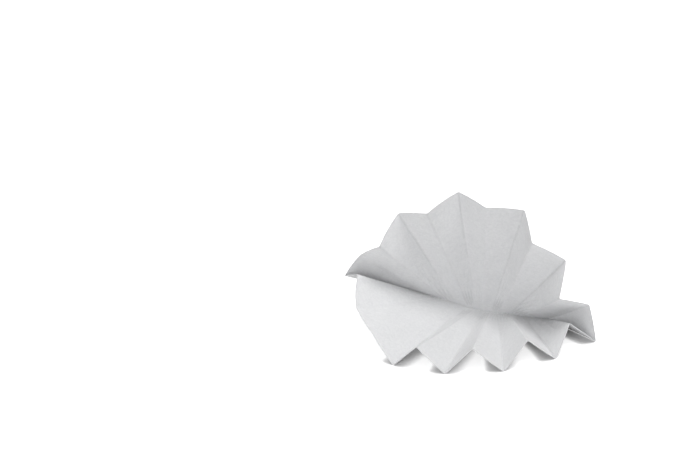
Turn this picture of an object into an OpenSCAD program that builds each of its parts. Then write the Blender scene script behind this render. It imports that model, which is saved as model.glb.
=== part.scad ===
// Pleated filter paper: one round sheet, folded in half, pleated as a fan through
// both layers and opened into a fluted cone. It lies on the fold ends of one half.

/* [Sheet] */
// Diameter of the sheet before it is folded
sheet_d = 125; // [115:1:150]
// Thickness of the paper
paper_t = 0.2; // [0.15:0.01:0.25]

/* [Folds] */
// Distance past the half fold at which the lines of the pleats would meet
gather_length = 16; // [13:0.5:20]
// Length of the round of each pleat fold, on each side of the fold
crease_leg = 0.8; // [0.7:0.05:1.2]
// Length of the round of the half fold, on each side of it
spine_leg = 1; // [0.8:0.1:1.6]

/* [Half fold] */
// Height of its flat stretch above the fold ends that stand on the table
spine_z = 0.2; // [0:0.1:1]
// Heading at its middle, from the X axis
spine_heading = -16; // [-25:1:-5]
// Turn of the heading from its middle to either end
spine_bend = 28; // [20:1:32]
// Length from its middle, to the right, at which it begins to rise to the left
lift_start = 6; // [4:0.5:8]
// Length over which it bends up
lift_length = 12; // [8:1:16]
// Slope of its left part
lift_slope = 18; // [14:1:21]
// Height of its right end
right_end_z = 0.3; // [0.1:0.1:0.6]

/* [Near half] */
// Heading of its middle fold
near_heading = -104; // [-108:1:-100]
// Slope of its rim between a fold on the table and the next ridge, at the middle
near_slope = 42; // [38:1:46]
// Change of that slope from the right end to the left
near_relax = 9; // [4:1:12]
// Height by which its last two folds on the left are lifted
near_lift = 17; // [14:0.5:20]

/* [Far half] */
// Heading of its middle fold, round the face of the mouth
far_heading = 77; // [74:1:80]
// Heading of the face that the mouth opens to
mouth_heading = -108; // [-112:1:-104]
// Lean of that face past upright
mouth_lean = 6; // [2:1:10]
// Distance from the half fold to that face
mouth_reach = 21; // [18:0.5:24]
// Slope of its rim off that face, from the folds on the face to the middle one
far_slope = 24; // [20:1:27]
// Gain of that slope out to the sides, where the rim curls forward
far_curl = 35; // [28:1:39]
// Distance in front of the face of its outer folds, but for the two by the middle, which reach it
far_side = 5; // [4:0.5:6]

/* [Hidden] */
right_side = -1;
left_side = 1;
sheet_r = sheet_d / 2;
// Panels of each half, and the folds between them, counted from the right
pleats = 12;
folds = pleats - 1;
middle = pleats / 2;
lifted = 2;
step = 180 / pleats;
chord = 2 * sheet_r * sin(step / 2);
end_share = 0.08;
round_steps = 4;
panel_steps = 3;
spine_steps = 12;
limb_steps = 6;

// The flat sheet. Each line of the pleats runs from the half fold to the rim,
// where a is its angle on the sheet.
function spine_at(a) = gather_length * sheet_r * cos(a) / (sheet_r * sin(a) + gather_length);
function line_length(a) = norm([sheet_r * cos(a) - spine_at(a), sheet_r * sin(a)]);

// The half fold in space, a curve that is as long as it is on the sheet. It lies flat on
// the right and rises to the left.
function spine_dir(x) =
    let (
        turn = spine_heading - spine_bend * x / sheet_r,
        fall = lift_slope * max(0, min(1, (lift_start - x) / lift_length))
    )
    [cos(fall) * cos(turn), cos(fall) * sin(turn), -sin(fall)];
function sum(list, i = 0) = i == len(list) - 1 ? list[i] : list[i] + sum(list, i + 1);
function spine_run(x) = sum([for (i = [0.5:spine_steps]) spine_dir(x * i / spine_steps)]) * x / spine_steps;
function spine_point(x) = spine_run(x) + [0, 0, spine_z - spine_run(lift_start).z];

function unit(v) = v / norm(v);

// The point at height z that is ra from p and rb from q, to one side of the line from p to q.
function meet(p, ra, q, rb, z, side) =
    let (
        a = sqrt(ra * ra - pow(z - p.z, 2)),
        b = sqrt(rb * rb - pow(z - q.z, 2)),
        d = norm([q.x - p.x, q.y - p.y]),
        e = [q.x - p.x, q.y - p.y] / d,
        along = (a * a - b * b + d * d) / (2 * d),
        off = side * sqrt(a * a - along * along)
    )
    [p.x + along * e.x - off * e.y, p.y + along * e.y + off * e.x, z];

// The point that is ra, rb and rc from p, q and r.
function corner(p, ra, q, rb, r, rc, side) =
    let (
        ex = unit(q - p),
        i = ex * (r - p),
        ey = unit(r - p - i * ex),
        j = ey * (r - p),
        d = norm(q - p),
        x = (ra * ra - rb * rb + d * d) / (2 * d),
        y = (ra * ra - rc * rc + i * i + j * j - 2 * i * x) / (2 * j)
    )
    p + x * ex + y * ey + side * sqrt(ra * ra - x * x - y * y) * cross(ex, ey);

// Fold ends of one half from fold k outwards, up to fold end. Each lies a crease's length from
// the half fold, a rim chord from the last end, and at its own height over the face it rests on.
function fan(k, end, side, last, spine, height) =
    let (
        p = meet(spine[k], line_length(k * step), last, chord, height[k], side),
        dk = sign(end - k)
    )
    k == end ? [p] : concat([p], fan(k + dk, end, side, p, spine, height));
function reversed(list) = [for (i = [len(list) - 1:-1:0]) list[i]];
// All of them, from the first fold to the last, set out from the middle one.
function half_ends(first, spine, height, heading, side) =
    let (
        rise = height[middle] - spine[middle].z,
        out = sqrt(pow(line_length(90), 2) - rise * rise),
        mid = spine[middle] + [out * cos(heading), out * sin(heading), rise]
    )
    concat(
        reversed(fan(middle - 1, first, -side, mid, spine, height)),
        [mid],
        fan(middle + 1, folds, side, mid, spine, height)
    );

// The face of the mouth: its own right, up and forward directions.
mouth_out = [
    cos(mouth_lean) * cos(mouth_heading),
    cos(mouth_lean) * sin(mouth_heading),
    sin(mouth_lean)
];
mouth_right = unit(cross([0, 0, 1], mouth_out));
mouth_up = cross(mouth_out, mouth_right);
function to_mouth(p) = [p * mouth_right, p * mouth_up, p * mouth_out - mouth_reach];
function from_mouth(p) = p.x * mouth_right + p.y * mouth_up + (p.z + mouth_reach) * mouth_out;

function is_even(k) = k % 2 == 0;
// Heights of the fold ends: the near half's above the table, the far half's in front of the face.
near_height = [
    for (k = [0:folds])
        (is_even(k) ? 0 : chord * sin(near_slope + near_relax * (middle - k) / pleats))
        + (k > folds - lifted ? near_lift : 0)
];
far_height = [
    for (k = [0:folds])
        is_even(k) ? chord * sin(far_slope + far_curl * abs(cos(k * step)))
        : abs(k - middle) > 1 ? far_side
        : 0
];

// Points where the pleat folds cross the half fold, and the ends of the folds.
crossings = [for (k = [1:folds]) spine_point(spine_at(k * step))];
spine_list = concat([[0, 0, 0]], crossings);
near_list = half_ends(1, spine_list, near_height, near_heading, -1);
far_most = [
    for (p = half_ends(2, [for (q = spine_list) to_mouth(q)], far_height, far_heading, 1)) from_mouth(p)
];
end_line = sheet_r - spine_at(step);
// The half fold ends on the table at the right, and the far half's first fold closes the ring there.
right_end = meet(crossings[0], end_line, near_list[0], chord, right_end_z, 1);
far_list = concat(
    [corner(crossings[0], line_length(step), right_end, chord, far_most[0], chord, right_side)],
    far_most
);
left_end = corner(
    crossings[folds - 1], end_line,
    near_list[folds - 1], chord,
    far_list[folds - 1], chord,
    left_side
);
spine = concat([right_end], crossings, [left_end]);
near = concat([right_end], near_list, [left_end]);
far = concat([right_end], far_list, [left_end]);

function blend(p, q, s) = p + s * (q - p);
function bend(p, q, r, s) = (1 - s) * (1 - s) * p + 2 * s * (1 - s) * q + s * s * r;

// The point on the panel after fold k, a share u across it and t along its line, where
// t is 1 at the near rim, 0 on the half fold and -1 at the far rim.
function panel_point(k, u, t) =
    let (
        a = (k + u) * step,
        rim = t < 0 ? far : near,
        across = (spine_at(a) - spine_at(k * step)) / (spine_at((k + 1) * step) - spine_at(k * step)),
        foot = blend(spine[k], spine[k + 1], across)
    )
    foot + abs(t) * line_length(a) * unit(blend(rim[k], rim[k + 1], u) - foot);
// The share of panel k that the round of a fold takes at t, and the flat part between them.
function round_share(k, t) =
    crease_leg / blend(spine_at(k * step) - spine_at((k + 1) * step), chord, abs(t));
function flat_share(k, i, t) =
    blend(
        k == 0 ? end_share : round_share(k, t),
        k == folds ? 1 - end_share : 1 - round_share(k, t),
        i / panel_steps
    );
function fold_point(k, s, t) =
    bend(
        panel_point(k - 1, 1 - round_share(k - 1, t), t),
        panel_point(k, 0, t),
        panel_point(k, round_share(k, t), t),
        s
    );
// A column is [fold, step across the panel] or [fold, share round the fold, true].
function column_point(c, t) =
    c[2] ? fold_point(c[0], c[1], t) : panel_point(c[0], flat_share(c[0], c[1], t), t);
columns = [
    for (k = [0:folds]) each concat(
        k == 0 ? [] : [for (i = [1:round_steps - 1]) [k, i / round_steps, true]],
        [for (i = [0:panel_steps]) [k, i, false]]
    )
];
function column_line(c) = line_length((c[0] + (c[2] ? 0 : flat_share(c[0], c[1], 0))) * step);
function limb(w, i) = w + (1 - w) * i / limb_steps;
function column_points(c) =
    let (w = spine_leg / column_line(c))
    concat(
        [for (i = [limb_steps:-1:1]) column_point(c, -limb(w, i))],
        [
            for (i = [0:round_steps])
                bend(column_point(c, -w), column_point(c, 0), column_point(c, w), i / round_steps)
        ],
        [for (i = [1:limb_steps]) column_point(c, limb(w, i))]
    );

// The middle surface as a grid, from the right end to the left one.
grid = [for (c = columns) column_points(c)];
rows = len(grid[0]);
last_column = len(grid) - 1;
last_row = rows - 1;
function grid_at(j, i) = j < 0 ? right_end : j > last_column ? left_end : grid[j][i];
function grid_normal(j, i) =
    unit(cross(
        grid_at(j + 1, i) - grid_at(j - 1, i),
        grid_at(j, min(i + 1, last_row)) - grid_at(j, max(i - 1, 0))
    ));
function end_normal(j, inward) =
    unit(cross(inward * (grid[j][spine_row] - grid_at(j - inward, 0)), grid[j][last_row] - grid[j][0]));
spine_row = limb_steps + round_steps / 2;

// One side of the paper: the grid, then the two ends.
function side_points(off) = concat(
    [for (j = [0:last_column]) for (i = [0:last_row]) grid[j][i] + off * grid_normal(j, i)],
    [right_end + off * end_normal(0, 1), left_end + off * end_normal(last_column, -1)]
);
points = concat(side_points(paper_t / 2), side_points(-paper_t / 2));
count = len(points) / 2;
right_id = count - 2;
left_id = count - 1;
function id(j, i) = j * rows + i;
side_faces = concat(
    [
        for (j = [0:last_column - 1]) for (i = [0:last_row - 1]) each
            [[id(j, i), id(j + 1, i + 1), id(j + 1, i)], [id(j, i), id(j, i + 1), id(j + 1, i + 1)]]
    ],
    [for (i = [0:last_row - 1]) [right_id, id(0, i + 1), id(0, i)]],
    [for (i = [0:last_row - 1]) [left_id, id(last_column, i), id(last_column, i + 1)]]
);
// The rim, once round the sheet.
rim_loop = concat(
    [right_id],
    [for (j = [0:last_column]) id(j, 0)],
    [left_id],
    [for (j = [last_column:-1:0]) id(j, last_row)]
);
rim_faces = [
    for (n = [0:len(rim_loop) - 1])
        let (p = rim_loop[n], q = rim_loop[(n + 1) % len(rim_loop)]) each
            [[p, q + count, p + count], [p, q, q + count]]
];
faces = concat(
    side_faces,
    [for (f = side_faces) [f[2] + count, f[1] + count, f[0] + count]],
    rim_faces
);

low = [for (i = [0:2]) min([for (p = points) p[i]])];
high = [for (i = [0:2]) max([for (p = points) p[i]])];

module filter_paper() {
    color([0.93, 0.93, 0.91])
        translate([-(low.x + high.x) / 2, -(low.y + high.y) / 2, -low.z])
            polyhedron(points = points, faces = faces, convexity = 10);
}

filter_paper();
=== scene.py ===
import math

import bmesh
import bpy
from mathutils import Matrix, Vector, noise


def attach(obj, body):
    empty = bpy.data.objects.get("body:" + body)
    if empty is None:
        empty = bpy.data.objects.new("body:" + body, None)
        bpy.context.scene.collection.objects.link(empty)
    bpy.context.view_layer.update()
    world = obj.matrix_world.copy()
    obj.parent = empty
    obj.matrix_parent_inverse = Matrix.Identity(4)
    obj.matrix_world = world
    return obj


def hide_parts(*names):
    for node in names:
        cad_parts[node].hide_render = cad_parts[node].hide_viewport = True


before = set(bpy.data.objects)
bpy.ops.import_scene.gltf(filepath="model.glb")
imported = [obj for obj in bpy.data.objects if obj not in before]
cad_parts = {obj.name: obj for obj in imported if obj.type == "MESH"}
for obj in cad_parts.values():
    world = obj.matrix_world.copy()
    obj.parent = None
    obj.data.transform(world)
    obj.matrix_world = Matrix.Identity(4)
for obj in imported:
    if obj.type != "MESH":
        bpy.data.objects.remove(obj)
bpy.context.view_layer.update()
print("frame loaded")


def addNode(tree, kind, inputs=None, **settings):
    node = tree.nodes.new(kind)
    for name, value in settings.items():
        setattr(node, name, value)
    for name, value in (inputs or {}).items():
        node.inputs[name].default_value = value
    return node


# The sheet, from the folded solid: finer, and cockled a little as real paper is
paper = {
    "weld": 0.000002,
    "cuts": 2,
    "waveSeed": 7,  # without a seed the waves change from run to run
    "bow": {"size": 0.017, "depth": 0.00022, "shift": 3.0},  # slow waves in the panels
    "cockle": {"size": 0.0045, "depth": 0.00004, "shift": 11.0},
    "settleHeight": 0.003,  # below this the waves fade, so that the sheet still lies flat
    "foldAngle": math.radians(9),  # sharper edges than this stay crisp
    "normalWeight": 100,
    "flatSize": 0.125,
}


def waveAt(point, size, depth, shift):
    return noise.noise_vector(point / size + Vector((shift, 0, 0))) * depth


def makePaperMesh(source):
    noise.seed_set(paper["waveSeed"])
    mesh = source.data.copy()
    mesh.name = "pleatedSheet"
    shape = bmesh.new()
    shape.from_mesh(mesh)
    shape.transform(source.matrix_world)
    bmesh.ops.remove_doubles(shape, verts=shape.verts, dist=paper["weld"])
    bmesh.ops.subdivide_edges(shape, edges=shape.edges, cuts=paper["cuts"], use_grid_fill=True)
    for vert in shape.verts:
        settle = min(1.0, max(0.0, vert.co.z / paper["settleHeight"]))
        vert.co += (waveAt(vert.co, **paper["bow"]) + waveAt(vert.co, **paper["cockle"])) * settle
    for edge in shape.edges:
        edge.smooth = len(edge.link_faces) == 2 and edge.calc_face_angle(0) < paper["foldAngle"]
    for face in shape.faces:
        face.smooth = True
    shape.to_mesh(mesh)
    shape.free()
    return mesh


paperFinish = {
    "colour": (0.79, 0.793, 0.8, 1),
    "shade": (0.725, 0.729, 0.738, 1),
    "cloud": {"Scale": 140, "Detail": 3},
    "mottle": {"Scale": 750, "Detail": 6, "Distortion": 1.2},
    "fibre": {"Scale": 2600, "Detail": 3, "Distortion": 3},
    "cloudShare": 0.15,
    "mottleRange": {"From Min": 0.35, "From Max": 0.65},
    "bump": {"Strength": 0.5, "Distance": 0.00005},
    "surface": {
        "Roughness": 0.92,
        "Specular IOR Level": 0.2,
        "Subsurface Weight": 1.0,  # light that passes through the thin sheet
        "Subsurface Radius": (1, 1, 1),
        "Subsurface Scale": 0.00035,
    },
    "creaseReach": 0.0007,
    "creaseSamples": 8,
    "paintedFoldShade": 0.82,  # painted shade along a fold
    "paintedEdgeHighlight": 1.1,  # painted highlight on the cut edge
    # Cosines of the turn to the rounded surface: below the first it is a cut edge,
    # and between the other two it is a fold
    "cutTurn": 0.74,
    "foldTurns": (0.79, 0.97),
}


# Painted light: how much the paper's colour darkens at folds (painted shade) and lightens at cut
# edges (painted highlight). The curve can't rise above 1, so it holds half of each tone, and the
# last node doubles it.
def makeFoldShadeAndEdgeHighlight(tree):
    rounded = addNode(
        tree,
        "ShaderNodeBevel",
        {"Radius": paperFinish["creaseReach"]},
        samples=paperFinish["creaseSamples"],
    )
    face = addNode(tree, "ShaderNodeNewGeometry")
    turn = addNode(tree, "ShaderNodeVectorMath", operation="DOT_PRODUCT")
    tree.links.new(rounded.outputs["Normal"], turn.inputs[0])
    tree.links.new(face.outputs["Normal"], turn.inputs[1])
    tone = addNode(tree, "ShaderNodeFloatCurve")
    foldShadeHalf, edgeHighlightHalf = paperFinish["paintedFoldShade"] / 2, paperFinish["paintedEdgeHighlight"] / 2
    points = tone.mapping.curves[0].points
    # painted highlight on the cut edge
    points[0].location = (0, edgeHighlightHalf)
    points[1].location = (1, 0.5)
    points.new(paperFinish["cutTurn"], edgeHighlightHalf)
    for foldTurn in paperFinish["foldTurns"]:
        # painted shade in the folds
        points.new(foldTurn, foldShadeHalf)
    for point in points:
        point.handle_type = "VECTOR"
    tone.mapping.update()
    tree.links.new(turn.outputs["Value"], tone.inputs["Value"])
    double = addNode(tree, "ShaderNodeMath", {1: 2}, operation="MULTIPLY")
    tree.links.new(tone.outputs["Value"], double.inputs[0])
    return double.outputs["Value"]


def makePaperMaterial():
    material = bpy.data.materials.new("plainPaper")
    material.use_nodes = True
    tree = material.node_tree
    shader = tree.nodes["Principled BSDF"]
    for name, value in paperFinish["surface"].items():
        shader.inputs[name].default_value = value
    place = addNode(tree, "ShaderNodeTexCoord")
    cloud, mottle, fibre = (
        addNode(tree, "ShaderNodeTexNoise", paperFinish[name])
        for name in ("cloud", "mottle", "fibre")
    )
    for node in (cloud, mottle, fibre):
        tree.links.new(place.outputs["Object"], node.inputs["Vector"])

    maps = addNode(tree, "ShaderNodeMix", {"Factor": paperFinish["cloudShare"]})
    tree.links.new(mottle.outputs["Fac"], maps.inputs["A"])
    tree.links.new(cloud.outputs["Fac"], maps.inputs["B"])
    spread = addNode(tree, "ShaderNodeMapRange", paperFinish["mottleRange"])
    tree.links.new(maps.outputs["Result"], spread.inputs["Value"])
    colour = addNode(
        tree,
        "ShaderNodeMix",
        {"A": paperFinish["shade"], "B": paperFinish["colour"]},
        data_type="RGBA",
    )
    tree.links.new(spread.outputs["Result"], colour.inputs["Factor"])
    withPaintedLight = addNode(tree, "ShaderNodeVectorMath", operation="SCALE")
    tree.links.new(colour.outputs["Result"], withPaintedLight.inputs[0])
    # the colour scaled by painted shade at folds and a painted highlight at cut edges
    tree.links.new(makeFoldShadeAndEdgeHighlight(tree), withPaintedLight.inputs["Scale"])
    tree.links.new(withPaintedLight.outputs["Vector"], shader.inputs["Base Color"])

    height = addNode(tree, "ShaderNodeMath", operation="ADD")
    tree.links.new(mottle.outputs["Fac"], height.inputs[0])
    tree.links.new(fibre.outputs["Fac"], height.inputs[1])
    bump = addNode(tree, "ShaderNodeBump", paperFinish["bump"])
    tree.links.new(height.outputs["Value"], bump.inputs["Height"])
    tree.links.new(bump.outputs["Normal"], shader.inputs["Normal"])
    return material


sheet = bpy.data.objects.new("pleatedPaper", makePaperMesh(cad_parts["filter_paper"]))
bpy.context.scene.collection.objects.link(sheet)
sheet.data.materials.clear()
sheet.data.materials.append(makePaperMaterial())
crisp = sheet.modifiers.new("crispFolds", "WEIGHTED_NORMAL")
crisp.weight = paper["normalWeight"]
crisp.keep_sharp = True
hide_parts("filter_paper")
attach(sheet, "root")
print("paper made:", len(sheet.data.polygons), "faces")

studio = {
    "floorSize": 3.0,
    "floor": {
        "Base Color": (0.9, 0.9, 0.9, 1),
        "Roughness": 1,
        "Specular IOR Level": 0,
        "Emission Color": (1, 1, 1, 1),
    },
    "whiteLift": 0.7,
    "contactReach": 0.005,  # the lift fades this near to the paper, which leaves its shadow
    "contactSamples": 16,
    "contactFall": 2.5,
    # Away from the shadow, so that it falls to the left and front
    "contactLean": {"X": 0.62, "Y": 0.38, "Z": 0.68},
    "worldStrength": 0.39,
    # Low, from the front, into the mouth
    "key": {"power": 1.6, "size": 0.4, "place": (-0.15, -0.85, 0.32)},
    # From above, a little front and right
    "fill": {"power": 4.6, "size": 0.5, "place": (0.24, -0.25, 0.9)},
}


def makeFloor():
    bpy.ops.mesh.primitive_plane_add(size=studio["floorSize"])
    floor = bpy.context.object
    floor.name = "studioFloor"
    material = bpy.data.materials.new("floorWhite")
    material.use_nodes = True
    tree = material.node_tree
    shader = tree.nodes["Principled BSDF"]
    for name, value in studio["floor"].items():
        shader.inputs[name].default_value = value
    nearPaper = addNode(
        tree,
        "ShaderNodeAmbientOcclusion",
        {"Distance": studio["contactReach"]},
        samples=studio["contactSamples"],
    )
    lean = addNode(tree, "ShaderNodeCombineXYZ", studio["contactLean"])
    tree.links.new(lean.outputs["Vector"], nearPaper.inputs["Normal"])
    clear = addNode(tree, "ShaderNodeMath", {1: studio["contactFall"]}, operation="POWER")
    tree.links.new(nearPaper.outputs["AO"], clear.inputs[0])
    rays = addNode(tree, "ShaderNodeLightPath")
    openFloor = addNode(tree, "ShaderNodeMath", operation="MULTIPLY")
    tree.links.new(rays.outputs["Is Camera Ray"], openFloor.inputs[0])
    tree.links.new(clear.outputs["Value"], openFloor.inputs[1])
    lift = addNode(tree, "ShaderNodeMath", {1: studio["whiteLift"]}, operation="MULTIPLY")
    tree.links.new(openFloor.outputs["Value"], lift.inputs[0])
    tree.links.new(lift.outputs["Value"], shader.inputs["Emission Strength"])
    floor.data.materials.append(material)


def makeSky():
    world = bpy.data.worlds.new("studioSky")
    bpy.context.scene.world = world
    world.use_nodes = True
    tree = world.node_tree
    back = tree.nodes["Background"]
    back.inputs["Color"].default_value = (1, 1, 1, 1)
    rays = addNode(tree, "ShaderNodeLightPath")
    level = addNode(tree, "ShaderNodeMapRange", {"To Min": studio["worldStrength"], "To Max": 1})
    tree.links.new(rays.outputs["Is Camera Ray"], level.inputs["Value"])
    tree.links.new(level.outputs["Result"], back.inputs["Strength"])


def makeLamp(name):
    light = bpy.data.lights.new(name + "Light", "AREA")
    light.shape = "DISK"
    light.size = studio[name]["size"]
    light.energy = studio[name]["power"]
    lamp = bpy.data.objects.new(name + "Light", light)
    lamp.location = studio[name]["place"]
    lamp.rotation_euler = (-lamp.location).to_track_quat("-Z", "Y").to_euler()
    bpy.context.scene.collection.objects.link(lamp)


makeFloor()
makeSky()
for lampName in ("key", "fill"):
    makeLamp(lampName)
print("studio made")

camera = {
    "turn": math.radians(-5.4),  # from +Y, about Z
    "down": math.radians(21.55),
    "roll": math.radians(-5.5),
    "distance": 1.062,
    "lens": 135,
    "sensor": 36,
    "target": (-0.0493, 0.0, 0.0546),
}


def makeCamera():
    turn, down, roll = camera["turn"], camera["down"], camera["roll"]
    level = math.cos(down)
    ahead = Vector((math.sin(turn) * level, math.cos(turn) * level, -math.sin(down)))
    look = ahead.to_track_quat("-Z", "Y").to_matrix()
    right, up = look.col[0], look.col[1]
    newRight = right * math.cos(roll) + up * math.sin(roll)
    newUp = up * math.cos(roll) - right * math.sin(roll)
    look.col[0], look.col[1] = newRight, newUp
    data = bpy.data.cameras.new("camera")
    data.lens = camera["lens"]
    data.sensor_width = camera["sensor"]
    body = bpy.data.objects.new("camera", data)
    body.location = Vector(camera["target"]) - ahead * camera["distance"]
    body.rotation_euler = look.to_euler()
    bpy.context.scene.collection.objects.link(body)
    bpy.context.scene.camera = body


makeCamera()
bpy.context.scene.view_settings.view_transform = "Standard"
print("camera made")
